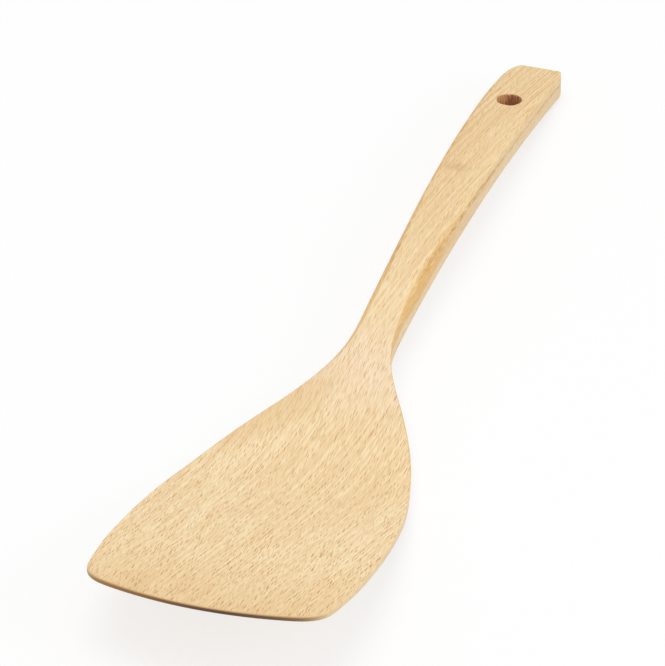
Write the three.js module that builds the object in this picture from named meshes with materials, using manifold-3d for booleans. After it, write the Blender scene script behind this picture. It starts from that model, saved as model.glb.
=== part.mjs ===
// Wooden spatula: one piece of beech, sawn to an S-shaped side view and then to its plan outline.
// Millimetres, +Z up. It lies as it rests on a table, on its heel and on the end of its handle,
// with the tip towards -Y and the handle towards +Y.

import * as THREE from 'three';
import { mergeVertices } from 'three/addons/utils/BufferGeometryUtils.js';
import Module from 'manifold-3d';

const wasm = await Module();
wasm.setup();

// Plan outline: lengths run along Y from the tip, widths across X
const overallLength = 372.4;
const tipWidth = 82;
const tipBow = 9.2;
const tipCornerCut = 8.5;
const bladeWidth = 86.5;
const widestAt = 46;
const widestReach = 13;
const shoulderReach = 112;
const leftNeckReach = 51;
const rightNeckReach = 39;
const neckWidth = 14.5;
const neckAt = 191;
const gripReach = 25;
const handleEndWidth = 22;
const leftEndCut = 50;
const leftEndInset = 7.2;
const rightEndCut = 3;
const rightEndInset = 2;

// Side view: lengths run from the tip along the level sole, thicknesses square to the underside
const soleLength = 98;
const heelRadius = 148;
const riseAngle = THREE.MathUtils.degToRad(23.2);
const endAngle = THREE.MathUtils.degToRad(4);
const endLean = THREE.MathUtils.degToRad(14);
const tipThickness = 1.8;
const heelThickness = 4.5;
const neckThickness = 7.5;
const endThickness = 9.5;

// Hanging hole, drilled square to the handle
const holeDiameter = 9;
const holeFromEnd = 32.6;

// Stock around the finished shape that the cuts take away, and the fineness of the curves
const stock = 10;
const outlineSteps = 24;
const arcSteps = 12;
const topSteps = 80;
const holeSides = 40;

const beech = new THREE.MeshStandardMaterial({ color: 0xeed2a7, roughness: 0.6, metalness: 0 });

// The heel's arc rises to here, and a wider arc the other way then levels the handle out
const riseEnd = soleLength + heelRadius * Math.sin(riseAngle);
const riseHeight = heelRadius * (1 - Math.cos(riseAngle));
const crestRadius = (overallLength - riseEnd) / (Math.sin(riseAngle) - Math.sin(endAngle));
const endHeight = riseHeight + crestRadius * (Math.cos(endAngle) - Math.cos(riseAngle));

const thicknessAlong = new THREE.CubicInterpolant(
  [0, soleLength, riseEnd, overallLength],
  [tipThickness, heelThickness, neckThickness, endThickness],
  1,
);

function solidOf(geometry) {
  const bare = geometry.clone();
  bare.deleteAttribute('normal');
  bare.deleteAttribute('uv');
  const merged = mergeVertices(bare);
  const vertProperties = new Float32Array(merged.attributes.position.array);
  const triVerts = new Uint32Array(merged.index.array);
  return new wasm.Manifold(new wasm.Mesh({ numProp: 3, vertProperties, triVerts }));
}

function geometryOf(solid) {
  const { vertProperties, triVerts } = solid.getMesh();
  const geometry = new THREE.BufferGeometry();
  geometry.setAttribute('position', new THREE.BufferAttribute(vertProperties, 3));
  geometry.setIndex(new THREE.BufferAttribute(triVerts, 1));
  geometry.computeVertexNormals();
  return geometry;
}

// The tip is a parabola through its two corners, which the corner cuts shorten
function tipEdge(half) {
  const back = tipBow * (2 * half / tipWidth) ** 2;
  const ahead = new THREE.Vector2(0, -back);
  return new THREE.QuadraticBezierCurve(new THREE.Vector2(-half, back), ahead, new THREE.Vector2(half, back));
}

// One long edge from the tip to the end; side is 1 on the right and -1 on the left.
// Each end corner is cut back along the edge, and set in across the end
function longEdge(side, neckReach, endCut, endInset, tipPoint) {
  const corner = new THREE.Vector2(side * tipWidth / 2, tipBow);
  const widest = new THREE.Vector2(side * bladeWidth / 2, widestAt);
  const neck = new THREE.Vector2(side * neckWidth / 2, neckAt);
  const end = new THREE.Vector2(side * handleEndWidth / 2, overallLength);
  const alongBlade = widest.clone().sub(corner).normalize();
  const alongGrip = end.clone().sub(neck).normalize();
  const start = corner.clone().addScaledVector(alongBlade, tipCornerCut);
  const stop = end.clone().addScaledVector(alongGrip, -endCut);
  const grip = stop.clone().addScaledVector(alongGrip, -gripReach);
  const edge = new THREE.Path();
  edge.moveTo(tipPoint.x, tipPoint.y);
  edge.quadraticCurveTo(corner.x, corner.y, start.x, start.y);
  edge.quadraticCurveTo(widest.x, widestAt - widestReach, widest.x, widestAt);
  edge.bezierCurveTo(widest.x, widestAt + shoulderReach, neck.x, neckAt - neckReach, neck.x, neckAt);
  edge.bezierCurveTo(neck.x, neckAt + gripReach, grip.x, grip.y, stop.x, stop.y);
  edge.quadraticCurveTo(end.x, end.y, end.x - side * endInset, end.y);
  return edge.getPoints(outlineSteps);
}

// The outline runs on past the end into the stock that the end's own cut takes away
function planOutline() {
  const tip = tipEdge(tipWidth / 2 - tipCornerCut).getPoints(outlineSteps);
  const right = longEdge(1, rightNeckReach, rightEndCut, rightEndInset, tip.at(-1));
  const left = longEdge(-1, leftNeckReach, leftEndCut, leftEndInset, tip.at(0));
  const past = [right.at(-1), left.at(-1)].map((point) => point.clone().setY(overallLength + stock));
  return new THREE.Shape([...tip, ...right.slice(1), ...past, ...left.slice(1).reverse()]);
}

// Underside in the side view, with stock left on at both ends
function undersidePath() {
  const path = new THREE.Path();
  const crestX = riseEnd + crestRadius * Math.sin(riseAngle);
  const crestZ = riseHeight - crestRadius * Math.cos(riseAngle);
  const quarter = Math.PI / 2;
  path.moveTo(-stock, 0);
  path.lineTo(soleLength, 0);
  path.absarc(soleLength, heelRadius, heelRadius, -quarter, riseAngle - quarter, false);
  path.absarc(crestX, crestZ, crestRadius, quarter + riseAngle, quarter + endAngle, true);
  path.lineTo(overallLength + stock * Math.cos(endAngle), endHeight + stock * Math.sin(endAngle));
  return path;
}

function topPoint(underside, share) {
  const below = underside.getPointAt(share);
  const along = underside.getTangentAt(share);
  const [thickness] = thicknessAlong.evaluate(below.x);
  return new THREE.Vector2(below.x - along.y * thickness, below.y + along.x * thickness);
}

function sideView() {
  const underside = undersidePath();
  const top = Array.from({ length: topSteps + 1 }, (_, step) => topPoint(underside, 1 - step / topSteps));
  return new THREE.Shape([...underside.getPoints(arcSteps), ...top]);
}

// The sawn blank: the side view drawn along Y and Z, as wide as the blade with its stock
function curvedBlank() {
  const depth = bladeWidth + 2 * stock;
  const blank = new THREE.ExtrudeGeometry(sideView(), { depth, bevelEnabled: false });
  blank.translate(0, 0, -depth / 2);
  const alongY = new THREE.Vector3(0, 1, 0);
  const upZ = new THREE.Vector3(0, 0, 1);
  const acrossX = new THREE.Vector3(1, 0, 0);
  return blank.applyMatrix4(new THREE.Matrix4().makeBasis(alongY, upZ, acrossX));
}

// What the plan cut keeps: the outline from below the sole to above the handle
function planCut() {
  const depth = endHeight + endThickness + 2 * stock;
  const cut = new THREE.ExtrudeGeometry(planOutline(), { depth, bevelEnabled: false });
  return cut.translate(0, 0, -stock);
}

// What the end's cut takes away: a block whose face leans back over the handle from its lower edge
function endCutOff() {
  const reach = bladeWidth + 2 * stock;
  const block = new THREE.BoxGeometry(reach, reach, reach);
  block.translate(0, reach / 2, 0);
  block.rotateX(endLean);
  return block.translate(0, overallLength, endHeight);
}

function hangingHole() {
  const fromTip = overallLength - holeFromEnd;
  const slope = Math.asin(Math.sin(endAngle) + holeFromEnd / crestRadius);
  const height = endHeight - crestRadius * (Math.cos(endAngle) - Math.cos(slope));
  const depth = endThickness + 2 * stock;
  const drill = new THREE.CylinderGeometry(holeDiameter / 2, holeDiameter / 2, depth, holeSides);
  drill.rotateX(Math.PI / 2 + slope);
  return drill.translate(0, fromTip, height);
}

// The table touches the heel's arc and the lower corner of the handle's end
function restTilt() {
  const run = overallLength - soleLength;
  const drop = endHeight - heelRadius;
  return Math.atan2(drop, run) + Math.asin(heelRadius / Math.hypot(run, drop));
}

function spatulaBody() {
  const sawn = solidOf(curvedBlank()).intersect(solidOf(planCut())).subtract(solidOf(endCutOff()));
  const solid = sawn.subtract(solidOf(hangingHole()));
  const mesh = new THREE.Mesh(geometryOf(solid), beech);
  mesh.name = 'spatula_body';
  mesh.rotation.x = -restTilt();
  return mesh;
}

// The origin is under the middle of the spatula, on the table
const spatula = new THREE.Group();
const body = spatulaBody();
spatula.add(body);
const box = new THREE.Box3().setFromObject(spatula, true);
const middle = box.getCenter(new THREE.Vector3());
body.position.set(-middle.x, -middle.y, -box.min.z);

export default spatula;
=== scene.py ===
"""A beech spatula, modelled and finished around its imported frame, on a plain studio stage."""

import math

import bmesh
import bpy
from bpy.props import FloatProperty, FloatVectorProperty, PointerProperty
from mathutils import Matrix, Vector
from mathutils.geometry import interpolate_bezier


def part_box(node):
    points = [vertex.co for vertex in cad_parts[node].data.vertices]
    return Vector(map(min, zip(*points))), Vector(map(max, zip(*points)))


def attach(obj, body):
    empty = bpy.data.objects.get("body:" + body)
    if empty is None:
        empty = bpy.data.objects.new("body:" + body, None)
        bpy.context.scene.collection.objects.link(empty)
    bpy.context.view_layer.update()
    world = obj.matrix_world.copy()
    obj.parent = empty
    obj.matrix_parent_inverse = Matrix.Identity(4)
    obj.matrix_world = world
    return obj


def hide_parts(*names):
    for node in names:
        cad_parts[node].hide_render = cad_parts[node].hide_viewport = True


bl_info = {
    "name": "Beech Spatula",
    "version": (1, 0, 0),
    "blender": (4, 5, 0),
    "location": "View3D > Sidebar > Spatula",
    "description": "Models a sawn beech turner with eased edges, its wood finish and a studio stage",
    "category": "Object",
}

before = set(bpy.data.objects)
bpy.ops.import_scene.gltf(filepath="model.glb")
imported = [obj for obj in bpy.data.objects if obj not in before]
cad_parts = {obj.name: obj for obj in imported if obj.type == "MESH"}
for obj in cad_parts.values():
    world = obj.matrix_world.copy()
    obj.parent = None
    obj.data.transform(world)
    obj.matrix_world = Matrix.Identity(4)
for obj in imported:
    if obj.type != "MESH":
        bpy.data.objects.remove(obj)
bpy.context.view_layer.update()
BODY_NODE = "spatula_body"
LOW, HIGH = (Vector(corner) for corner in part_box(BODY_NODE))

PHOTO_WIDTH = 665
SENSOR_WIDTH = 36.0
CURVE_POINTS = 60
QUARTER = math.pi / 2
WHITE = (1.0, 1.0, 1.0)

# Colour sockets of Blender's Mix node
MIX_UNDER, MIX_OVER, MIX_RESULT = 6, 7, 2


def linear(red, green, blue):
    """A colour written as it looks on screen, 0 to 255, in the values that the shader takes."""
    shares = (channel / 255 for channel in (red, green, blue))
    return tuple(s / 12.92 if s <= 0.04045 else ((s + 0.055) / 1.055) ** 2.4 for s in shares)


def length(name, description, default):
    return FloatProperty(name=name, description=description, default=default, unit="LENGTH", precision=4)


def angle(name, description, degrees):
    return FloatProperty(name=name, description=description, default=math.radians(degrees), subtype="ANGLE")


def share(name, description, default):
    return FloatProperty(name=name, description=description, default=default, min=0.0, max=1.0)


def colour(name, description, default):
    return FloatVectorProperty(name=name, description=description, default=default, subtype="COLOR",
                               min=0.0, max=1.0)


def power(name, description, default):
    return FloatProperty(name=name, description=description, default=default, unit="POWER")


def position(name, description, default):
    return FloatVectorProperty(name=name, description=description, default=default, subtype="TRANSLATION")


def rgba(values):
    return (*values, 1.0)


def glide(before, after, value, start, stop):
    """Goes from one size to another while a value goes from start to stop, with level ends."""
    part = min(max((value - start) / (stop - start), 0.0), 1.0)
    return before + (after - before) * part * part * (3 - 2 * part)


class SpatulaShape(bpy.types.PropertyGroup):
    """Sizes of the spatula: stations run from the tip, with the sole level."""

    overall_length: length("Overall length", "Tip to the lower edge of the handle's end, in plan", 0.3724)
    tip_width: length("Tip width", "Between the tip's two corners before they are rounded", 0.082)
    tip_bow: length("Tip bow", "How far the middle of the tip stands ahead of its corners", 0.0092)
    tip_corner_cut: length("Tip corner cut", "How far the rounding reaches from each tip corner", 0.0085)
    blade_width: length("Blade width", "Widest part of the blade", HIGH.x - LOW.x)
    widest_at: length("Widest at", "Station of the widest part", 0.046)
    widest_reach: length("Widest reach", "Pull of the curve ahead of the widest part", 0.013)
    shoulder_reach: length("Shoulder reach", "Pull of the curve behind the widest part", 0.112)
    left_neck_reach: length("Left neck reach", "Pull of the left curve ahead of the neck", 0.051)
    right_neck_reach: length("Right neck reach", "Pull of the right curve ahead of the neck", 0.039)
    neck_width: length("Neck width", "Narrowest part of the handle", 0.0145)
    neck_at: length("Neck at", "Station of the neck", 0.191)
    grip_reach: length("Grip reach", "Pull of the handle's curve at both its ends", 0.025)
    handle_end_width: length("Handle end width", "Between the handle's end corners", 0.022)
    left_end_cut: length("Left end cut", "Left end corner, cut back along the handle", 0.050)
    left_end_inset: length("Left end inset", "Left end corner, set in across the end", 0.0072)
    right_end_cut: length("Right end cut", "Right end corner, cut back along the handle", 0.003)
    right_end_inset: length("Right end inset", "Right end corner, set in across the end", 0.002)
    sole_length: length("Sole length", "Flat underside of the blade", 0.098)
    heel_radius: length("Heel radius", "Underside's arc from the sole into the rise", 0.148)
    rise_angle: angle("Rise angle", "Steepest slope of the handle", 23.2)
    end_angle: angle("End angle", "Slope of the underside at the handle's end", 4.0)
    end_lean: angle("End lean", "The end's cut, leaning back over the handle from its lower edge", 14.0)
    tip_thickness: length("Tip thickness", "Wood at the tip", 0.0018)
    heel_thickness: length("Heel thickness", "Wood at the end of the sole", 0.0045)
    neck_thickness: length("Neck thickness", "Wood at the end of the rise", 0.0075)
    end_thickness: length("End thickness", "Wood at the handle's end", 0.0095)
    hole_diameter: length("Hole diameter", "Hanging hole", 0.009)
    hole_from_end: length("Hole from end", "Hole's centre to the end's lower edge", 0.0326)
    blade_ease: length("Blade ease", "Rounding of the blade's edges", 0.0005)
    neck_ease: length("Neck ease", "Rounding of the upper left edge along the neck", 0.0022)
    grip_ease: length("Grip ease", "Rounding of the upper left edge along the grip", 0.0012)
    facet_ease: length("Facet ease", "Rounding of the upper right edge behind the neck", 0.0042)
    palm_ease: length("Palm ease", "Rounding of the upper right edge along the grip", 0.0028)
    hole_ease: length("Hole ease", "Rounding of the upper edges beside the hole", 0.0018)
    under_ease: length("Under ease", "Rounding of the handle's lower edges", 0.0007)
    end_ease: length("End ease", "Rounding of the edges at the handle's end", 0.0008)
    rim_ease: length("Rim ease", "Rounding of the hole's rims", 0.0004)
    arris_margin: length("Arris margin", "Flat strip beside each rounding", 0.0004)


class BeechFinish(bpy.types.PropertyGroup):
    """Colours and grain of the wood."""

    pale: colour("Pale wood", "Early wood", linear(253, 231, 188))
    honey: colour("Honey wood", "Darker bands along the grain", linear(244, 215, 168))
    neck: colour("Neck wood", "Palest stretch, at the neck", linear(250, 227, 191))
    late: colour("Late wood", "Thin growth lines and fibres", linear(222, 182, 122))
    fleck: colour("Ray flecks", "Short dark dashes along the grain", linear(190, 132, 62))
    wall: colour("Wall wood", "Greyer tone of the sides", linear(231, 207, 169))
    # Painted shade of the rounded upper edges, as a warm tone
    edge: colour("Edge wood", "Warm tone along the upper edges", linear(226, 182, 114))
    # Dark fibres within that painted shade, darkened further as painted shade
    streak: colour("Edge streaks", "Dark fibres cut by the handle's upper edges", linear(206, 156, 86))
    # End grain of the tip darkened with painted shade of its front wall
    tip_shaded_grain: colour("Tip edge", "Cut across the fibres along the tip, on the left", linear(150, 102, 64))
    # Painted shade at the right of the tip's front wall
    tip_shade: colour("Tip shade", "Darker end of that cut, on the right", linear(84, 56, 46))
    butt: colour("Butt", "Cut across the fibres at the handle's end", linear(222, 186, 136))
    butt_late: colour("Butt rings", "Growth rings and pores at the handle's end", linear(192, 148, 98))
    # Partly scorched wood, partly painted shade inside the hole
    bore: colour("Hole wall", "Scorched wall of the drilled hole", linear(160, 102, 70))
    # Pale streaks, and the hole's left wall painted lighter as if lit
    lit_and_streaked_bore: colour("Pale hole wall", "Paler left and streaks of the drilled wall", linear(234, 182, 125))
    smudge: colour("Smudge", "Brown mark across the handle", linear(204, 164, 110))
    roughness: share("Roughness", "Sanded, unvarnished surface", 0.6)
    fibre_lean: angle("Fibre lean", "Fibres and dashes, leaning right from the handle's line", -3.2)
    ring_lean: angle("Ring lean", "Bands and growth lines, leaning right from the handle's line", 8.0)


class StudioStage(bpy.types.PropertyGroup):
    """Camera, floor and lights."""

    elevation: angle("Elevation", "Camera above the table", 33.72)
    turn: angle("Turn", "Spatula's line, turned right from the view", 18.03)
    distance: length("Distance", "Camera to the middle of the sole's line", 2.5)
    pixels_per_metre: FloatProperty(name="Pixels per metre", description="Picture scale at that distance",
                                    default=2944.0)
    aside: length("Aside", "Spatula's middle, right of the picture's middle", 0.01168)
    raised: length("Raised", "Spatula's middle, above the picture's middle", -0.03009)
    floor_size: length("Floor size", "Side of the square floor", 12.0)
    floor: colour("Floor", "Plain pale floor", (0.9, 0.9, 0.9))
    floor_glow: share("Floor glow", "Part of the floor's white that the camera sees without light", 0.75)
    ambient: share("Ambient", "Even light from all around", 0.6)
    lamp_size: length("Lamp size", "Side of each soft light", 1.2)
    key_power: power("Key power", "Soft light overhead", 10.8)
    key_place: position("Key place", "Middle of the soft light overhead", (-0.2, -0.1, 1.72))
    side_power: power("Side power", "Soft light from the right", 7.0)
    side_place: position("Side place", "Middle of the soft light on the right", (1.6, -0.2, 0.6))


class SideView:
    """The underside and the thickness along the spatula, with the sole level, and how it rests."""

    # Stretch of the handle over which the lean of its end fades out
    LEAN_ROOM = 0.024

    def __init__(self, shape):
        self.shape = shape
        rise, end = math.sin(shape.rise_angle), math.sin(shape.end_angle)
        self.rise_end = shape.sole_length + shape.heel_radius * rise
        self.rise_height = shape.heel_radius * (1 - math.cos(shape.rise_angle))
        self.crest_radius = (shape.overall_length - self.rise_end) / (rise - end)
        self.stations = (0.0, shape.sole_length, self.rise_end, shape.overall_length)
        self.wood = (shape.tip_thickness, shape.heel_thickness, shape.neck_thickness, shape.end_thickness)

    def slope(self, y):
        """Angle of the underside."""
        shape = self.shape
        if y <= shape.sole_length:
            return 0.0
        if y <= self.rise_end:
            return math.asin((y - shape.sole_length) / shape.heel_radius)
        return math.asin(math.sin(shape.rise_angle) - (y - self.rise_end) / self.crest_radius)

    def underside(self, y):
        """Height of the underside."""
        shape = self.shape
        lean = self.slope(y)
        if y <= self.rise_end:
            return shape.heel_radius * (1 - math.cos(lean))
        return self.rise_height + self.crest_radius * (math.cos(lean) - math.cos(shape.rise_angle))

    def thickness(self, y):
        """Wood square to the underside, on a smooth curve through the four known stations."""
        stations, wood = self.stations, self.wood
        spans = range(len(stations) - 1)
        gaps = [(wood[k + 1] - wood[k]) / (stations[k + 1] - stations[k]) for k in spans]
        leans = [gaps[0], (gaps[0] + gaps[1]) / 2, (gaps[1] + gaps[2]) / 2, gaps[2]]
        y = min(max(y, 0.0), stations[-1])
        k = next(index for index in spans if y <= stations[index + 1])
        run = stations[k + 1] - stations[k]
        t = (y - stations[k]) / run
        start = (1 + 2 * t) * (1 - t) ** 2 * wood[k] + t * (1 - t) ** 2 * run * leans[k]
        stop = t * t * (3 - 2 * t) * wood[k + 1] + t * t * (t - 1) * run * leans[k + 1]
        return start + stop

    def height(self, y, part):
        """Height at a part of the way from the underside to the top."""
        return self.underside(y) + part * self.thickness(y) / math.cos(self.slope(y))

    def end_set_back(self, y, part):
        """How far the leaning cut of the end takes a point back, fading out along the handle."""
        stop = self.shape.overall_length
        above = self.height(y, part) - self.underside(stop)
        return glide(0.0, above, y, stop - self.LEAN_ROOM, stop) * math.tan(self.shape.end_lean)

    def rest(self):
        """Turns the level sole into the resting pose, on the heel and the handle's end."""
        shape = self.shape
        run = shape.overall_length - shape.sole_length
        drop = self.underside(shape.overall_length) - shape.heel_radius
        tilt = math.atan2(drop, run) + math.asin(shape.heel_radius / math.hypot(run, drop))
        lift = shape.heel_radius * (1 - math.cos(tilt)) + shape.sole_length * math.sin(tilt)
        return Matrix.Translation((0, LOW.y, LOW.z + lift)) @ Matrix.Rotation(-tilt, 4, "X")


class Edge:
    """One stretch of the plan outline, from left to right or from the tip to the end."""

    def __init__(self, curves, outward_turn):
        self.turn = outward_turn
        self.points = list(curves[0])
        self.joints = [0, len(self.points) - 1]
        for curve in curves[1:]:
            self.points.extend(curve[1:])
            self.joints.append(len(self.points) - 1)
        self.reached = [0.0]
        for before, after in zip(self.points, self.points[1:]):
            self.reached.append(self.reached[-1] + (after - before).length)

    def between(self, step, part):
        """The point and its outward direction, part of the way along one step."""
        before, after = self.points[step], self.points[step + 1]
        along = (after - before).normalized()
        outward = Vector((along.y, -along.x, 0)) * self.turn
        return before.lerp(after, part), outward

    def at_length(self, goal):
        """The point and its outward direction at a length along the edge."""
        last = len(self.points) - 2
        step = next((k for k in range(last) if goal <= self.reached[k + 1]), last)
        before, after = self.reached[step], self.reached[step + 1]
        return self.between(step, (goal - before) / (after - before))

    def at_station(self, y):
        """The point and its outward direction at a station."""
        last = len(self.points) - 2
        step = next((k for k in range(last) if y <= self.points[k + 1].y), last)
        before, after = self.points[step], self.points[step + 1]
        return self.between(step, (y - before.y) / (after.y - before.y))

    def spread(self, counts):
        """Points along the edge, with a count of even steps on each of its curves."""
        goals = [0.0]
        for start, stop, count in zip(self.joints, self.joints[1:], counts):
            low, high = self.reached[start], self.reached[stop]
            goals.extend(low + (high - low) * k / count for k in range(1, count + 1))
        return [self.at_length(goal) for goal in goals]


def bezier(*knots):
    """Points along a curve of four knots, or of three, raised to four."""
    if len(knots) == 3:
        start, pull, stop = knots
        knots = (start, start.lerp(pull, 2 / 3), stop.lerp(pull, 2 / 3), stop)
    return interpolate_bezier(*knots, CURVE_POINTS)


class PlanOutline:
    """The four stretches of the outline: tip, end and the two long sides."""

    # Steps of each end corner's rounding that belong to its long side
    LEFT_SPLIT = 51
    RIGHT_SPLIT = 35

    def __init__(self, shape):
        self.shape = shape
        left = self.long_side(-1, shape.left_neck_reach, shape.left_end_cut, shape.left_end_inset)
        right = self.long_side(1, shape.right_neck_reach, shape.right_end_cut, shape.right_end_inset)
        left_tip, left_run, left_end = left
        right_tip, right_run, right_end = right
        ahead = Vector((0, -left_tip[-1].y, 0))
        bow = bezier(left_tip[-1], ahead, right_tip[-1])
        flat = [left_end[-1], right_end[-1]]
        self.left = Edge([*left_run, left_end[:self.LEFT_SPLIT + 1]], -1)
        self.right = Edge([*right_run, right_end[:self.RIGHT_SPLIT + 1]], 1)
        self.tip = Edge([left_tip, bow, right_tip[::-1]], 1)
        self.end = Edge([left_end[self.LEFT_SPLIT:], flat, right_end[self.RIGHT_SPLIT:][::-1]], -1)

    def long_side(self, side, neck_reach, end_cut, end_inset):
        """The rounding to the tip, the curves of one long side and the rounding to the end."""
        shape = self.shape
        corner = Vector((side * shape.tip_width / 2, shape.tip_bow, 0))
        widest = Vector((side * shape.blade_width / 2, shape.widest_at, 0))
        neck = Vector((side * shape.neck_width / 2, shape.neck_at, 0))
        end = Vector((side * shape.handle_end_width / 2, shape.overall_length, 0))
        forward = Vector((0, 1, 0))
        along_grip = (end - neck).normalized()
        start = corner + (widest - corner).normalized() * shape.tip_corner_cut
        stop = end - along_grip * end_cut
        blade = bezier(start, widest - forward * shape.widest_reach, widest)
        before_neck = neck - forward * neck_reach
        shoulder = bezier(widest, widest + forward * shape.shoulder_reach, before_neck, neck)
        grip = bezier(neck, neck + forward * shape.grip_reach, stop - along_grip * shape.grip_reach, stop)
        tip_half = shape.tip_width / 2 - shape.tip_corner_cut
        tip_back = shape.tip_bow * (2 * tip_half / shape.tip_width) ** 2
        to_tip = bezier(start, corner, Vector((side * tip_half, tip_back, 0)))
        to_end = bezier(stop, end, end - Vector((side * end_inset, 0, 0)))
        return to_tip, (blade, shoulder, grip), to_end


class SpatulaPlate:
    """The spatula as a level plate: X and Y in metres, Z a share of the thickness, 1 on top."""

    # Cells of the grid across and along the plate, and steps around each rounding
    TIP_COLUMNS = (4, 8, 4)
    END_COLUMNS = (2, 12, 2)
    COLUMNS = sum(TIP_COLUMNS)
    BLADE_ROWS = 9
    SWEEP_ROWS = 70
    HOLE_HALF = 5
    HOLE_MARGIN = 2
    HOLE_SLACK = 0.1
    END_ROWS = 8
    ARC_STEPS = 4

    # Length behind the tip in which the rows still follow its bow
    TIP_FADE = 0.050

    # Stations between which the edges' roundings change
    NECK_SOFTENS = (0.158, 0.190)
    GRIP_SHARPENS = (0.225, 0.270)
    FACET_OPENS = (0.178, 0.216)
    PALM_CLOSES = (0.220, 0.250)
    HOLE_NEARS = (0.300, 0.330)
    END_NEARS = (0.350, 0.368)
    UNDER_SOFTENS = (0.150, 0.210)

    # Most of the thickness that one rounding may take
    FALL_LIMIT = 0.45

    # Uneven rounding of the hole's upper rim: more of it along the handle, and chips around it
    RIM_DRAWN_OUT = 0.45
    RIM_CHIPPED = 0.4
    RIM_CHIPS = 5
    CHIP_TURN = 0.6

    # How fast the end grain fades out around the corners of the tip and the end
    LEFT_CUT = 1.5
    RIGHT_CUT = 2.5

    MERGE_DISTANCE = 1e-6

    def __init__(self, shape, side_view):
        self.shape = shape
        self.side_view = side_view
        self.outline = PlanOutline(shape)
        self.hole = Vector((0, shape.overall_length - shape.hole_from_end, 0))
        self.hole_lean = math.tan(side_view.slope(self.hole.y)) * side_view.thickness(self.hole.y)
        self.hole_row = self.hole.y - self.hole_lean / 2
        self.bm = bmesh.new()
        verts = self.bm.verts.layers
        self.rim = verts.float_vector.new("rim")
        self.outward = verts.float_vector.new("outward")
        self.top_ease = verts.float.new("top_ease")
        self.under_ease = verts.float.new("under_ease")
        self.lean = verts.float.new("lean")
        self.depth = verts.float.new("depth")
        self.facet = verts.float.new("facet")
        self.end_tone = verts.float.new("end_tone")
        self.bore_tone = verts.float.new("bore_tone")
        self.bore_depth = verts.float.new("bore_depth")

    def left_ease(self, y):
        """Rounding of the upper left edge: softest along the neck."""
        shape = self.shape
        ease = glide(shape.blade_ease, shape.neck_ease, y, *self.NECK_SOFTENS)
        ease = glide(ease, shape.grip_ease, y, *self.GRIP_SHARPENS)
        ease = glide(ease, shape.hole_ease, y, *self.HOLE_NEARS)
        return glide(ease, shape.end_ease, y, *self.END_NEARS)

    def right_ease(self, y):
        """Rounding of the upper right edge: crisp up to the neck, and widest just behind it."""
        shape = self.shape
        ease = glide(shape.blade_ease, shape.facet_ease, y, *self.FACET_OPENS)
        ease = glide(ease, shape.palm_ease, y, *self.PALM_CLOSES)
        ease = glide(ease, shape.hole_ease, y, *self.HOLE_NEARS)
        return glide(ease, shape.end_ease, y, *self.END_NEARS)

    def eases(self, point):
        """Roundings of the upper and the lower edge at an outline point."""
        shape = self.shape
        top = self.left_ease(point.y) if point.x < 0 else self.right_ease(point.y)
        return top, glide(shape.blade_ease, shape.under_ease, point.y, *self.UNDER_SOFTENS)

    def inset_at(self, y):
        """How far in from the outline the widest rounding and its margin reach."""
        widest = max(self.left_ease(y), self.right_ease(y), self.shape.under_ease)
        return widest + self.shape.arris_margin

    def inset_point(self, point_and_outward):
        """Where the grid ends inside an outline point, with that point and its outward direction."""
        point, outward = point_and_outward
        return point - outward * self.inset_at(point.y), point, outward

    def hole_step(self):
        """Size of the grid's cells around the hole."""
        right = self.inset_point(self.outline.right.at_station(self.hole.y))[0]
        left = self.inset_point(self.outline.left.at_station(self.hole.y))[0]
        return (right.x - left.x) / self.COLUMNS

    def stations(self):
        """Pairs of left and right stations, one for each row, closer around the hole."""
        outline = self.outline
        first = outline.left.points[0].y
        reach = self.hole_step() * (self.HOLE_HALF + self.HOLE_MARGIN)
        stops = (first, self.shape.widest_at, self.hole_row - reach, self.hole_row + reach)
        counts = (self.BLADE_ROWS, self.SWEEP_ROWS, 2 * (self.HOLE_HALF + self.HOLE_MARGIN))
        rows = [first]
        for start, stop, count in zip(stops, stops[1:], counts):
            rows.extend(start + (stop - start) * k / count for k in range(1, count + 1))
        pairs = [(y, y) for y in rows]
        ends = (outline.left.points[-1].y, outline.right.points[-1].y)
        for k in range(1, self.END_ROWS + 1):
            pairs.append(tuple(rows[-1] + (end - rows[-1]) * k / self.END_ROWS for end in ends))
        return pairs

    def borders(self, pairs):
        """The grid's left, right, tip and end: set-in points, outline points and outward directions."""
        outline = self.outline
        left = [self.inset_point(outline.left.at_station(y)) for y, _ in pairs]
        right = [self.inset_point(outline.right.at_station(y)) for _, y in pairs]
        tip = [self.inset_point(spot) for spot in outline.tip.spread(self.TIP_COLUMNS)]
        end = [self.inset_point(spot) for spot in outline.end.spread(self.END_COLUMNS)]
        tip[0], tip[-1], end[0], end[-1] = left[0], right[0], left[-1], right[-1]
        return left, right, tip, end

    def grid_point(self, i, j, pairs, borders):
        """A point between the ends of its row, drawn after the tip's bow and the end's corners."""
        left, right, tip, end = borders
        across = i / self.COLUMNS
        tip_fade = max(1 - (pairs[j][1] - pairs[0][1]) / self.TIP_FADE, 0.0) ** 2
        end_fade = (max(j + 1 - len(pairs) + self.END_ROWS, 0) / self.END_ROWS) ** 2
        point = left[j][0].lerp(right[j][0], across)
        point += (tip[i][0] - left[0][0].lerp(right[0][0], across)) * tip_fade
        point += (end[i][0] - left[-1][0].lerp(right[-1][0], across)) * end_fade
        return point

    def lay_top(self):
        """The top face as a grid whose border follows the outline, set in by the rounding."""
        pairs = self.stations()
        rows = len(pairs) - 1
        borders = self.borders(pairs)
        left, right, tip, end = borders
        bmesh.ops.create_grid(self.bm, x_segments=self.COLUMNS, y_segments=rows, size=1)
        for vert in self.bm.verts:
            i = round((vert.co.x + 1) / 2 * self.COLUMNS)
            j = round((vert.co.y + 1) / 2 * rows)
            point = self.grid_point(i, j, pairs, borders)
            vert.co = (point.x, point.y, 1.0)
            border = {0: left[j], self.COLUMNS: right[j]}.get(i) or {0: tip[i], rows: end[i]}.get(j)
            if border:
                vert[self.rim], vert[self.outward] = border[1:]
                vert[self.top_ease], vert[self.under_ease] = self.eases(border[1])

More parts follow.
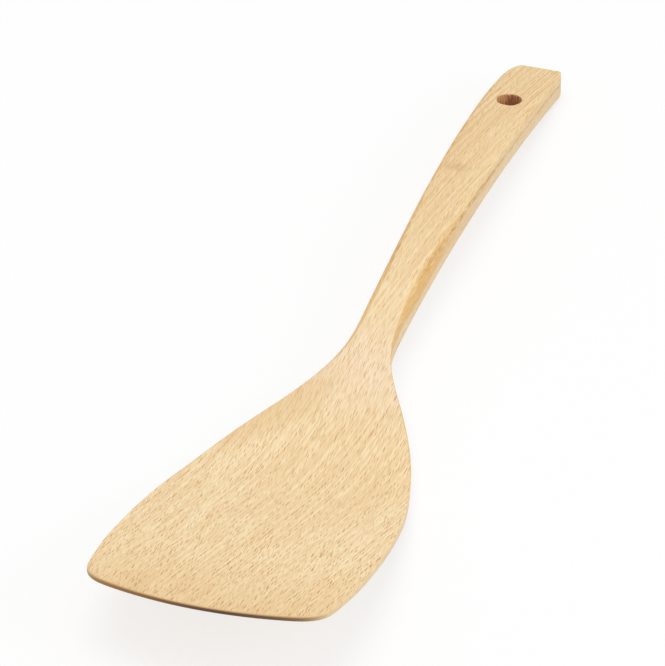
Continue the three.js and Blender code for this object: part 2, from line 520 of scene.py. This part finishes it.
    def wear(self, around):
        """How many times its usual rounding the hole's upper rim has, where the drill broke fibres out."""
        drawn_out = self.RIM_DRAWN_OUT * math.cos(2 * around)
        chips = self.RIM_CHIPPED * math.sin(self.RIM_CHIPS * around + self.CHIP_TURN)
        return 1 - drawn_out + chips

    def open_hole(self):
        """Takes the grid's cells out of the hole and draws their border into a circle."""
        shape = self.shape
        reach = self.hole_step() * (self.HOLE_HALF + self.HOLE_SLACK)
        inside = [face for face in self.bm.faces
                  if all(max(abs(v.co.x), abs(v.co.y - self.hole_row)) < reach for v in face.verts)]
        bmesh.ops.delete(self.bm, geom=inside, context="FACES")
        for vert in self.bm.verts:
            aside = Vector((vert.co.x, vert.co.y - self.hole_row, 0))
            if vert.is_boundary and max(abs(aside.x), abs(aside.y)) < reach:
                vert[self.outward] = -aside.normalized()
                vert[self.rim] = self.hole - vert[self.outward] * shape.hole_diameter / 2
                vert[self.top_ease] = shape.rim_ease * self.wear(math.atan2(aside.y, aside.x))
                vert[self.under_ease] = shape.rim_ease
                vert[self.lean] = self.hole_lean

    def inset(self, vert):
        """How far the faces of the top and the underside stay in from the outline."""
        if vert[self.lean] > 0:
            return self.shape.rim_ease + self.shape.arris_margin
        return self.inset_at(vert[self.rim].y)

    def place(self, vert, inset, part):
        """Puts a border point a way in from its outline, at a share of the thickness."""
        spot = vert[self.rim] - vert[self.outward] * inset
        vert.co = (spot.x, spot.y - vert[self.lean] * part, part)

    def lay_bottom(self):
        """A copy of the top face, turned over, for the underside."""
        whole = self.bm.verts[:] + self.bm.edges[:] + self.bm.faces[:]
        copied = bmesh.ops.duplicate(self.bm, geom=whole)["geom"]
        faces = [item for item in copied if isinstance(item, bmesh.types.BMFace)]
        bmesh.ops.reverse_faces(self.bm, faces=faces)
        for vert in (item for item in copied if isinstance(item, bmesh.types.BMVert)):
            vert.co.z = 0.0
            if vert[self.under_ease] > 0:
                self.place(vert, self.inset(vert), 0.0)

    def rings(self):
        """Angle around each rounding, and whether it is the lower one, from top to bottom."""
        angles = [QUARTER * k / self.ARC_STEPS for k in range(self.ARC_STEPS + 1)]
        return [(turn, False) for turn in angles] + [(turn, True) for turn in angles[::-1]]

    def set_on_ring(self, vert, turn, below):
        """Puts a new border point on one ring of the roundings, with the tones of that ring."""
        ease = vert[self.under_ease] if below else vert[self.top_ease]
        fall = ease * (1 - math.cos(turn)) / self.side_view.thickness(vert[self.rim].y)
        fall = min(fall, self.FALL_LIMIT * (1 - math.cos(turn)))
        part = fall if below else 1 - fall
        self.place(vert, ease * (1 - math.sin(turn)), part)
        if vert[self.lean] > 0:
            vert[self.bore_tone] = math.sin(turn)
            vert[self.bore_depth] = 1 - part
        else:
            vert[self.depth] = 1 - part
            vert[self.facet] = turn / QUARTER
            power = self.LEFT_CUT if vert[self.rim].x < 0 else self.RIGHT_CUT
            vert[self.end_tone] = math.sin(turn) * abs(vert[self.outward].y) ** power

    def round_over(self, border):
        """Grows the roundings and the side walls from the top's border down to the underside's."""
        for turn, below in [*self.rings(), (None, True)]:
            grown = bmesh.ops.extrude_edge_only(self.bm, edges=border)["geom"]
            verts = {item for item in grown if isinstance(item, bmesh.types.BMVert)}
            border = [item for item in grown
                      if isinstance(item, bmesh.types.BMEdge) and verts.issuperset(item.verts)]
            for vert in verts:
                if turn is None:
                    self.place(vert, self.inset(vert), 0.0)
                else:
                    self.set_on_ring(vert, turn, below)

    def bend(self):
        """Gives the plate its side view, leans its end and lays it down to rest."""
        for vert in self.bm.verts:
            part = vert.co.z
            vert.co.y -= self.side_view.end_set_back(vert.co.y, part)
            vert.co.z = self.side_view.height(vert.co.y, part)
        bmesh.ops.transform(self.bm, matrix=self.side_view.rest(), verts=self.bm.verts)

    def helpers(self):
        """Layers that only serve the modelling, each with the group that holds it."""
        verts = self.bm.verts.layers
        vectors = [(verts.float_vector, name) for name in ("rim", "outward")]
        return vectors + [(verts.float, name) for name in ("top_ease", "under_ease", "lean")]

    def build(self):
        """The finished mesh."""
        self.lay_top()
        self.open_hole()
        border = [edge for edge in self.bm.edges if edge.is_boundary]
        for vert in {vert for edge in border for vert in edge.verts}:
            self.place(vert, self.inset(vert), 1.0)
        self.lay_bottom()
        self.round_over(border)
        bmesh.ops.remove_doubles(self.bm, verts=self.bm.verts, dist=self.MERGE_DISTANCE)
        self.bend()
        bmesh.ops.recalc_face_normals(self.bm, faces=self.bm.faces)
        for face in self.bm.faces:
            face.smooth = True
        for layers, name in self.helpers():
            layers.remove(layers[name])
        mesh = bpy.data.meshes.new("beech_body")
        self.bm.to_mesh(mesh)
        self.bm.free()
        return mesh


class Graph:
    """A short way to add and join the nodes of a material or a world."""

    def __init__(self, owner):
        owner.use_nodes = True
        self.tree = owner.node_tree

    def add(self, kind, inputs=None, **settings):
        node = self.tree.nodes.new(kind)
        for name, value in settings.items():
            setattr(node, name, value)
        for name, value in (inputs or {}).items():
            self.feed(node.inputs[name], value)
        return node

    def feed(self, socket, value):
        if isinstance(value, bpy.types.NodeSocket):
            self.tree.links.new(value, socket)
        else:
            socket.default_value = value

    def ramp(self, source, low, high, top=1.0):
        """A share that goes from 0 at low to its top at high."""
        inputs = {"Value": source, "From Min": low, "From Max": high, "To Max": top}
        return self.add("ShaderNodeMapRange", inputs, interpolation_type="SMOOTHSTEP").outputs["Result"]

    def maths(self, operation, first, second):
        return self.add("ShaderNodeMath", {0: first, 1: second}, operation=operation).outputs["Value"]

    def times(self, first, *others):
        for other in others:
            first = self.maths("MULTIPLY", first, other)
        return first

    def plus(self, first, *others):
        for other in others:
            first = self.maths("ADD", first, other)
        return first

    def most(self, first, *others):
        for other in others:
            first = self.maths("MAXIMUM", first, other)
        return first

    def blend(self, part, under, over):
        """One colour over another."""
        node = self.add("ShaderNodeMix", {"Factor": part}, data_type="RGBA")
        self.feed(node.inputs[MIX_UNDER], under)
        self.feed(node.inputs[MIX_OVER], over)
        return node.outputs[MIX_RESULT]

    def attribute(self, name):
        return self.add("ShaderNodeAttribute", attribute_name=name).outputs["Fac"]


class Beech(Graph):
    """The wood's nodes, on the frame's own axes: X across the spatula, Y along it and Z up."""

    # One feature of each grain, across, along and through the plank
    WIDE_BAND = (0.012, 0.15, 0.02)
    NARROW_BAND = (0.0010, 0.050, 0.004)
    GROWTH_RING = (0.0076, 0.14, 0.03)
    RING_STRETCH = (0.004, 0.05, 0.01)
    FIBRE = (0.00024, 0.0060, 0.0012)
    LONG_DASH = (0.00078, 0.0120, 1.0)
    SHORT_DASH = (0.00050, 0.0060, 1.0)
    DASH_ROW = (0.0011, 0.03, 0.004)
    WALL_LINE = (0.0010, 0.045, 1.0)
    WALL_DASH = (0.00050, 0.0050, 1.0)
    FACET_FIBRE = (0.0004, 0.0045, 0.0004)
    BUTT_RING = (0.006, 1.0, 0.006)
    PORE = (0.0003, 1.0, 0.0003)
    MARK_STREAK = (0.0009, 0.0035, 0.01)
    BORE_STREAK = (0.0006, 0.0006, 0.012)

    # Middle of the growth rings at the handle's end, and how loosely dashes lie in their rows
    BUTT_HEART = (0.008, 0.0, -0.025)
    DASH_SCATTER = 0.6

    # Stations along Y where a change starts and is whole, and then where it fades and stops
    BLADE_TO_HANDLE = (-0.16, 0.0)
    TIP_DARKENS = (-0.13, -0.188)
    HANDLE_DARKENS = (-0.03, 0.09)
    NECK_IS_PALE = (-0.05, -0.02, -0.012, 0.018)
    RINGS_SHOW = (0.02, 0.10)
    MARGIN_SHOWS = (0.0, 0.03, 0.11, 0.15)
    GRIP_STARTS = (-0.05, -0.01)
    FACET_WIDENS = (-0.030, 0.026, 0.036, 0.072)
    FACET_DEEPENS = (0.010, 0.026)
    HANDLE_LINE = (-0.10, -0.04, 0.035, 0.085)
    BLADE_LINE = (-0.09, -0.14)
    STREAKS_START = (0.01, 0.05)
    STREAKS_SINK = (0.05, 0.14)
    TIP_CUT_SHOWS = (0.0, -0.05)
    BUTT_CUT_SHOWS = (0.0, 0.05)

    # Places across X, in the same order
    LEFT_MARGIN = (-0.0045, -0.0085)
    RIGHT_HALF = (-0.002, 0.002)
    TIP_SHADES = (-0.030, 0.012)
    # Where painted shade darkens the hole's wall on its right
    BORE_SHADED_RIGHT = (-0.0045, 0.0010, 0.0020, 0.0055)

    # The streaks' row, in shares of the thickness from its middle
    STREAK_ROW = (-0.10, -0.02, 0.02, 0.10)

    # Golden patch on the left shoulder and brown mark across the handle: middle, half size and lean
    SHOULDER_PATCH = ((-0.021, -0.045), (0.014, 0.042), math.radians(33))
    HANDLE_MARK = ((-0.0025, 0.1020), (0.0065, 0.0045), math.radians(-10))

    # How deep the flecks are pressed in, and how much of that shows
    FLECK_DEPTH = 0.00002
    FLECK_RELIEF = 0.05

    def __init__(self, material, finish):
        super().__init__(material)
        self.finish = finish
        self.place = self.add("ShaderNodeTexCoord").outputs["Object"]
        axes = self.add("ShaderNodeSeparateXYZ", {"Vector": self.place}).outputs
        self.across, self.along = axes["X"], axes["Y"]
        side_axes = {"X": axes["Z"], "Y": axes["Y"]}
        self.side_place = self.add("ShaderNodeCombineXYZ", side_axes).outputs["Vector"]
        self.depth = self.attribute("depth")
        self.facet = self.attribute("facet")
        self.end_tone = self.attribute("end_tone")

    def grain(self, size, lean, start=(0, 0, 0), place=None):
        """Coordinates in which one feature of the grain is one unit."""
        place = place or self.place
        inputs = {"Vector": place, "Scale": size, "Rotation": (0, 0, -lean), "Location": start}
        return self.add("ShaderNodeMapping", inputs, vector_type="TEXTURE").outputs["Vector"]

    def noise(self, size, lean, detail=2.0, place=None):
        """Soft uneven tones, stretched to one feature of the grain."""
        inputs = {"Vector": self.grain(size, lean, place=place), "Scale": 1.0, "Detail": detail}
        return self.add("ShaderNodeTexNoise", inputs).outputs["Fac"]

    def dashes(self, size, reach, rarest, place=None):
        """One dash of its own strength in each cell of the grain, in rows along the growth lines."""
        finish = self.finish
        across, along, _ = size
        apart = finish.ring_lean - finish.fibre_lean
        turn = math.atan2(math.sin(apart) / across, math.cos(apart) / along)
        inputs = {"Vector": self.grain(size, finish.fibre_lean, place=place), "Rotation": (0, 0, turn)}
        rows = self.add("ShaderNodeMapping", inputs).outputs["Vector"]
        inputs = {"Vector": rows, "Scale": 1.0, "Randomness": self.DASH_SCATTER}
        cells = self.add("ShaderNodeTexVoronoi", inputs, voronoi_dimensions="2D", feature="F1")
        chance = self.add("ShaderNodeSeparateColor", {"Color": cells.outputs["Color"]}).outputs["Red"]
        dash = self.ramp(cells.outputs["Distance"], reach, reach / 4)
        return self.times(dash, self.ramp(chance, rarest, 1.0))

    def slide(self, blade, handle):
        """A share that goes from its value on the blade to that on the handle."""
        start, stop = self.BLADE_TO_HANDLE
        inputs = {"Value": self.along, "From Min": start, "From Max": stop,
                  "To Min": blade, "To Max": handle}
        return self.add("ShaderNodeMapRange", inputs).outputs["Result"]

    def window(self, source, start, full, fade, stop):
        """A share that is whole between full and fade, and nothing before start and after stop."""
        return self.times(self.ramp(source, start, full), self.ramp(source, stop, fade))

    def plank(self):
        """Soft bands, darker towards both ends and palest at the neck, with growth lines and fibres."""
        finish = self.finish
        wide = self.noise(self.WIDE_BAND, finish.ring_lean, 1.0)
        narrow = self.noise(self.NARROW_BAND, finish.ring_lean, 0.0)
        bands = self.plus(self.times(wide, 0.3), self.times(narrow, 0.7))
        tone = self.blend(self.ramp(bands, 0.36, 0.64), rgba(finish.pale), rgba(finish.honey))
        tip = self.ramp(self.along, *self.TIP_DARKENS, top=0.4)
        handle = self.ramp(self.along, *self.HANDLE_DARKENS, top=0.28)
        tone = self.blend(self.most(tip, handle, 0.05), tone, rgba(finish.late))
        tone = self.blend(self.window(self.along, *self.NECK_IS_PALE), tone, rgba(finish.neck))
        tone = self.blend(self.growth_lines(), tone, rgba(finish.late))
        fibres = self.ramp(self.noise(self.FIBRE, finish.fibre_lean, 1.0), 0.40, 0.78, top=0.72)
        return self.blend(fibres, tone, rgba(finish.late))

    def growth_lines(self):
        """Late wood of the rings, which shows on the handle's face and comes and goes along it."""
        lean = self.finish.ring_lean
        inputs = {"Vector": self.grain(self.GROWTH_RING, lean), "Scale": 1.0, "Distortion": 2.0,
                  "Detail": 1.0, "Detail Scale": 0.4}
        rings = self.add("ShaderNodeTexWave", inputs, bands_direction="X", wave_profile="SAW")
        late = self.ramp(rings.outputs["Fac"], 0.66, 1.0)
        on_face = self.ramp(self.depth, 0.10, 0.0)
        shown = self.ramp(self.noise(self.RING_STRETCH, lean, 0.0), 0.30, 0.62)
        return self.times(late, self.ramp(self.along, *self.RINGS_SHOW), on_face, shown)

    def flecks(self):
        """Rays that end on the face as short dark dashes, mostly on the blade."""
        faint = self.times(self.dashes(self.SHORT_DASH, 0.31, 0.10), 0.85)
        dashes = self.most(self.dashes(self.LONG_DASH, 0.22, 0.25), faint)
        rows = self.ramp(self.noise(self.DASH_ROW, self.finish.ring_lean, 0.0), 0.35, 0.62, top=0.6)
        on_face = self.ramp(self.depth, 0.15, 0.02)
        return self.times(dashes, self.plus(rows, 0.35), on_face, self.slide(1.65, 0.85))

    def walls(self, tone):
        """The sides, a little greyer, with lines of their own along the grain."""
        finish = self.finish
        lines = self.ramp(self.noise(self.WALL_LINE, 0.0, 1.0, self.side_place), 0.40, 0.66, top=0.4)
        wall = self.blend(lines, rgba(finish.wall), rgba(finish.late))
        return self.blend(self.ramp(self.depth, 0.05, 0.35, top=0.65), tone, wall)

    def side_flecks(self, tone):
        """Dashes like those of the face, on the sides."""
        dashes = self.dashes(self.WALL_DASH, 0.33, 0.05, self.side_place)
        shown = self.times(self.ramp(self.depth, 0.01, 0.12, top=0.5), dashes)
        return self.blend(shown, tone, rgba(self.finish.fleck))

    def left_margin(self, tone):
        """A darker margin along the left of the grip."""
        margin = self.ramp(self.across, *self.LEFT_MARGIN, top=0.35)
        part = self.times(margin, self.window(self.along, *self.MARGIN_SHOWS))
        return self.blend(part, tone, rgba(self.finish.late))

    def edge_shade_zone(self, right, grip, fibres):
        """Where painted shade lies on the upper edges: where their rounding starts, and lower on the grip's
        right.
        """
        widest = self.window(self.along, *self.FACET_WIDENS)
        start = self.plus(0.02, self.times(grip, 0.16))
        full = self.plus(start, 0.08, self.times(grip, 0.16))
        fade = self.plus(0.24, self.times(widest, 0.42), grip)
        zone = self.window(self.facet, start, full, fade, self.plus(fade, 0.12))
        deeper = self.ramp(self.along, *self.FACET_DEEPENS, top=0.20)
        lowest = self.plus(0.22, deeper, self.times(fibres, 0.32))
        upper = self.ramp(self.depth, lowest, self.plus(lowest, -0.12))
        return self.times(zone, upper, self.plus(self.times(right, 0.25), 0.75))

    def streak_row(self, grip):
        """Where the streaks lie: all over the left, and on the right in a row that sinks to the end."""
        middle = self.plus(0.16, self.ramp(self.along, *self.STREAKS_SINK, top=0.22))
        row = self.window(self.maths("SUBTRACT", self.depth, middle), *self.STREAK_ROW)
        row = self.most(row, self.maths("SUBTRACT", 1.0, grip))
        return self.times(self.ramp(self.along, *self.STREAKS_START), row)

    def sides(self, tone):
        """Painted shade on the rounded upper edges, in a warm tone, which thins out into dark streaks up
        the handle.
        """
        finish = self.finish
        right = self.ramp(self.across, *self.RIGHT_HALF)
        grip = self.times(right, self.ramp(self.along, *self.GRIP_STARTS))
        fibres = self.noise(self.FACET_FIBRE, 0.0, 3.0)
        zone = self.edge_shade_zone(right, grip, fibres)
        handle = self.window(self.along, *self.HANDLE_LINE)
        blade = self.times(self.ramp(self.along, *self.BLADE_LINE, top=0.6), right)
        line = self.plus(self.most(handle, blade), 0.12)
        # Painted shade on the upper edges' rounding
        warm = self.times(zone, line, self.ramp(fibres, 0.15, 0.60))
        tone = self.blend(warm, tone, rgba(finish.edge))
        # Dark fibre streaks within that painted shade
        streaks = self.times(zone, self.ramp(fibres, 0.44, 0.56), self.streak_row(grip))
        return self.blend(streaks, tone, rgba(finish.streak))

    def tip_grain_shading(self, tone):
        """End grain along the tip, with painted shade that deepens to the right, below a line of painted
        shade on the upper arris.
        """
        finish = self.finish
        part = self.times(self.end_tone, self.ramp(self.along, *self.TIP_CUT_SHOWS))
        # Painted shade along the tip's upper arris
        arris = self.times(part, self.ramp(self.depth, 0.0, 0.1))
        tone = self.blend(arris, tone, rgba(finish.edge))
        # Painted shade over the tip's end grain, deeper to the right
        shade = self.ramp(self.across, *self.TIP_SHADES)
        cut = self.blend(shade, rgba(finish.tip_shaded_grain), rgba(finish.tip_shade))
        return self.blend(self.times(part, self.ramp(self.depth, 0.08, 0.40)), tone, cut)

    def butt_cut(self, tone):
        """End grain at the handle's end: arcs of the growth rings, with fine pores."""
        finish = self.finish
        inputs = {"Vector": self.grain(self.BUTT_RING, 0.0, self.BUTT_HEART), "Scale": 1.0,
                  "Distortion": 1.0, "Detail": 1.0}
        arcs = self.add("ShaderNodeTexWave", inputs, wave_type="RINGS", rings_direction="Y",
                        wave_profile="SAW").outputs["Fac"]
        pores = self.ramp(self.noise(self.PORE, 0.0), 0.40, 0.70, top=0.5)
        late = self.plus(self.times(arcs, 0.5), pores)
        cut = self.blend(late, rgba(finish.butt), rgba(finish.butt_late))
        part = self.times(self.end_tone, self.ramp(self.along, *self.BUTT_CUT_SHOWS, top=0.9))
        return self.blend(part, tone, cut)

    def patch(self, middle, size, lean, strength):
        """A share that fades out from the middle of a patch on the faces."""
        spot = self.grain((*size, 1.0), lean, (*middle, 0))
        away = self.add("ShaderNodeVectorMath", {0: spot}, operation="LENGTH").outputs["Value"]
        return self.ramp(away, 1.0, 0.2, strength)

    def shoulder(self, tone):
        """A golden patch on the left shoulder."""
        return self.blend(self.patch(*self.SHOULDER_PATCH, 0.4), tone, rgba(self.finish.late))

    def smudge(self, tone):
        """A faint brown mark across the handle, streaked along the fibres."""
        streaks = self.ramp(self.noise(self.MARK_STREAK, 0.0), 0.20, 0.62)
        mark = self.times(self.patch(*self.HANDLE_MARK, 0.6), streaks)
        return self.blend(mark, tone, rgba(self.finish.smudge))

    def hole(self, tone):
        """The drilled wall, streaked down its length, with painted shade on its right and further in."""
        finish = self.finish
        streaks = self.ramp(self.noise(self.BORE_STREAK, 0.0), 0.36, 0.64, top=0.6)
        # Painted shade on the wall's right
        right = self.times(self.window(self.across, *self.BORE_SHADED_RIGHT), 0.6)
        # Painted shade further into the hole
        inside = self.ramp(self.attribute("bore_depth"), 0.0, 0.6, top=0.3)
        dark = self.ramp(self.plus(streaks, right, inside), 0.25, 1.0)
        wall = self.blend(dark, rgba(finish.lit_and_streaked_bore), rgba(finish.bore))
        return self.blend(self.ramp(self.attribute("bore_tone"), 0.3, 0.75), tone, wall)

    def finish_up(self):
        """Lays the layers over each other and joins them to the shader."""
        flecks = self.flecks()
        tone = self.blend(flecks, self.plank(), rgba(self.finish.fleck))
        layers = (self.walls, self.left_margin, self.sides, self.side_flecks, self.tip_grain_shading, self.butt_cut,
                  self.shoulder, self.smudge, self.hole)
        for layer in layers:
            tone = layer(tone)
        inputs = {"Height": self.times(flecks, -1.0), "Strength": self.FLECK_RELIEF,
                  "Distance": self.FLECK_DEPTH}
        relief = self.add("ShaderNodeBump", inputs).outputs["Normal"]
        shader = self.tree.nodes["Principled BSDF"]
        self.feed(shader.inputs["Base Color"], tone)
        self.feed(shader.inputs["Roughness"], self.finish.roughness)
        self.feed(shader.inputs["Normal"], relief)


class SPATULA_OT_body(bpy.types.Operator):
    """Model the spatula's body and give it its beech finish"""

    bl_idname = "spatula.body"
    bl_label = "Spatula body"

    def execute(self, context):
        scene = context.scene
        plate = SpatulaPlate(scene.spatula_shape, SideView(scene.spatula_shape))
        mesh = plate.build()
        material = bpy.data.materials.new("sanded_beech")
        Beech(material, scene.beech_finish).finish_up()
        mesh.materials.append(material)
        body = bpy.data.objects.new("beech_body", mesh)
        scene.collection.objects.link(body)
        smooth = body.modifiers.new("Smooth", "SUBSURF")
        smooth.levels = 1
        smooth.render_levels = 1
        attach(body, "root")
        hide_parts(BODY_NODE)
        return {"FINISHED"}


class SPATULA_OT_stage(bpy.types.Operator):
    """Set the floor, the lights and the camera"""

    bl_idname = "spatula.stage"
    bl_label = "Studio stage"

    def execute(self, context):
        scene = context.scene
        stage = scene.studio_stage
        scene.view_settings.view_transform = "Standard"
        self.lay_floor(scene, stage)
        self.light(scene, stage)
        self.set_camera(scene, stage)
        return {"FINISHED"}

    def white_to(self, graph):
        """1 for the rays that should see a white background, and 0 for those that light the object."""
        path = graph.add("ShaderNodeLightPath").outputs
        return graph.most(path["Is Camera Ray"], path["Is Glossy Ray"], path["Is Transmission Ray"])

    def pale_floor(self, stage):
        """White to the camera apart from the shadows, and a plain pale surface to the object."""
        material = bpy.data.materials.new("pale_floor")
        graph = Graph(material)
        seen = self.white_to(graph)
        shader = graph.tree.nodes["Principled BSDF"]
        dimmed = Vector(WHITE) * (1 - stage.floor_glow)
        graph.feed(shader.inputs["Base Color"], graph.blend(seen, rgba(stage.floor), rgba(dimmed)))
        graph.feed(shader.inputs["Emission Strength"], graph.times(seen, stage.floor_glow))
        shader.inputs["Emission Color"].default_value = rgba(WHITE)
        shader.inputs["Roughness"].default_value = 1.0
        shader.inputs["Specular IOR Level"].default_value = 0.0
        return material

    def lay_floor(self, scene, stage):
        mesh = bpy.data.meshes.new("floor")
        bm = bmesh.new()
        bmesh.ops.create_grid(bm, x_segments=1, y_segments=1, size=stage.floor_size / 2)
        bm.to_mesh(mesh)
        bm.free()
        mesh.materials.append(self.pale_floor(stage))
        floor = bpy.data.objects.new("floor", mesh)
        scene.collection.objects.link(floor)

    def light(self, scene, stage):
        world = bpy.data.worlds.new("studio")
        scene.world = world
        graph = Graph(world)
        background = graph.tree.nodes["Background"]
        background.inputs["Color"].default_value = rgba(WHITE)
        graph.feed(background.inputs["Strength"], graph.most(self.white_to(graph), stage.ambient))
        self.hang_lamp(scene, "key", stage.key_place, stage.key_power, stage.lamp_size)
        self.hang_lamp(scene, "side", stage.side_place, stage.side_power, stage.lamp_size)

    def hang_lamp(self, scene, name, place, power, size):
        """A soft square light that faces the middle of the stage."""
        lamp = bpy.data.lights.new(name, "AREA")
        lamp.size = size
        lamp.energy = power
        hung = bpy.data.objects.new(name, lamp)
        hung.location = place
        hung.rotation_euler = Vector(place).to_track_quat("Z", "Y").to_euler()
        scene.collection.objects.link(hung)

    def set_camera(self, scene, stage):
        turn, rise = stage.turn, stage.elevation
        right = Vector((math.cos(turn), math.sin(turn), 0))
        level = Vector((-math.sin(turn), math.cos(turn), 0))
        ahead = level * math.cos(rise) - Vector((0, 0, math.sin(rise)))
        up = right.cross(ahead)
        shape = scene.spatula_shape
        middle = SideView(shape).rest() @ Vector((0, shape.overall_length / 2, 0))
        lens = bpy.data.cameras.new("photo_view")
        lens.sensor_fit = "HORIZONTAL"
        lens.sensor_width = SENSOR_WIDTH
        lens.lens = stage.pixels_per_metre * stage.distance * SENSOR_WIDTH / PHOTO_WIDTH
        camera = bpy.data.objects.new("photo_view", lens)
        camera.location = middle - right * stage.aside - up * stage.raised - ahead * stage.distance
        camera.rotation_euler = ahead.to_track_quat("-Z", "Y").to_euler()
        scene.collection.objects.link(camera)
        scene.camera = camera


class SPATULA_PT_panel(bpy.types.Panel):
    """Lists what the spatula is made from"""

    bl_label = "Spatula"
    bl_idname = "SPATULA_PT_panel"
    bl_space_type = "VIEW_3D"
    bl_region_type = "UI"
    bl_category = "Spatula"

    def draw(self, context):
        layout = self.layout
        for group in (context.scene.spatula_shape, context.scene.beech_finish, context.scene.studio_stage):
            box = layout.box()
            for name in group.__annotations__:
                box.prop(group, name)
        layout.operator(SPATULA_OT_body.bl_idname)
        layout.operator(SPATULA_OT_stage.bl_idname)


CLASSES = (SpatulaShape, BeechFinish, StudioStage, SPATULA_OT_body, SPATULA_OT_stage, SPATULA_PT_panel)


def register():
    for item in CLASSES:
        bpy.utils.register_class(item)
    bpy.types.Scene.spatula_shape = PointerProperty(type=SpatulaShape)
    bpy.types.Scene.beech_finish = PointerProperty(type=BeechFinish)
    bpy.types.Scene.studio_stage = PointerProperty(type=StudioStage)


def unregister():
    del bpy.types.Scene.studio_stage
    del bpy.types.Scene.beech_finish
    del bpy.types.Scene.spatula_shape
    for item in reversed(CLASSES):
        bpy.utils.unregister_class(item)


def main():
    register()
    bpy.ops.spatula.body()
    bpy.ops.spatula.stage()


if __name__ == "__main__":
    main()
